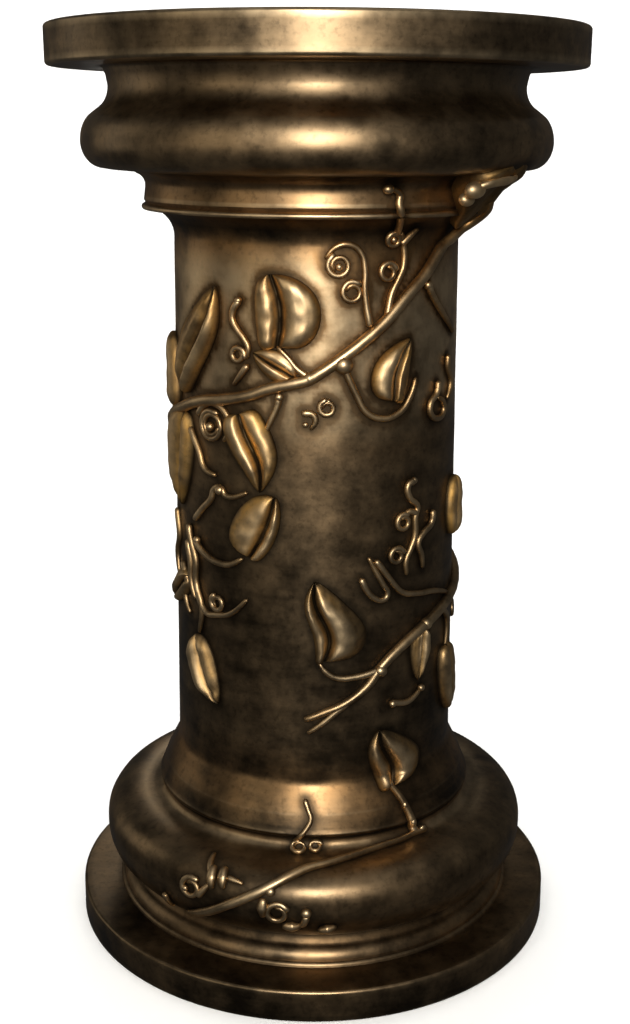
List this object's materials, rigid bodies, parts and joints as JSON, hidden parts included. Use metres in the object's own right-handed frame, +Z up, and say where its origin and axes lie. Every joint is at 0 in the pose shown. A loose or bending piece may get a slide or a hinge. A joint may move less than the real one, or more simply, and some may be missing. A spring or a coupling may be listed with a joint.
{
  "type": "column pedestal",
  "caption": "Round column pedestal with a moulded base and capital, a thick round top for a plant or bust, and a leafy vine in relief winding once round the drum.",
  "frame": {"origin": "centre of the underside, on the floor", "axes": "+Z up the column's axis, -Y towards the front, where the vine's lower fork and its largest leaf show"},
  "size_m": [0.43, 0.43, 0.762],
  "materials": {
    "antique_bronze": "antique bronze, satin, dark in the hollows and rubbed light on the high points"
  },
  "bodies": {
    "root": {"pedestal": "antique_bronze"}
  },
  "joints": []
}
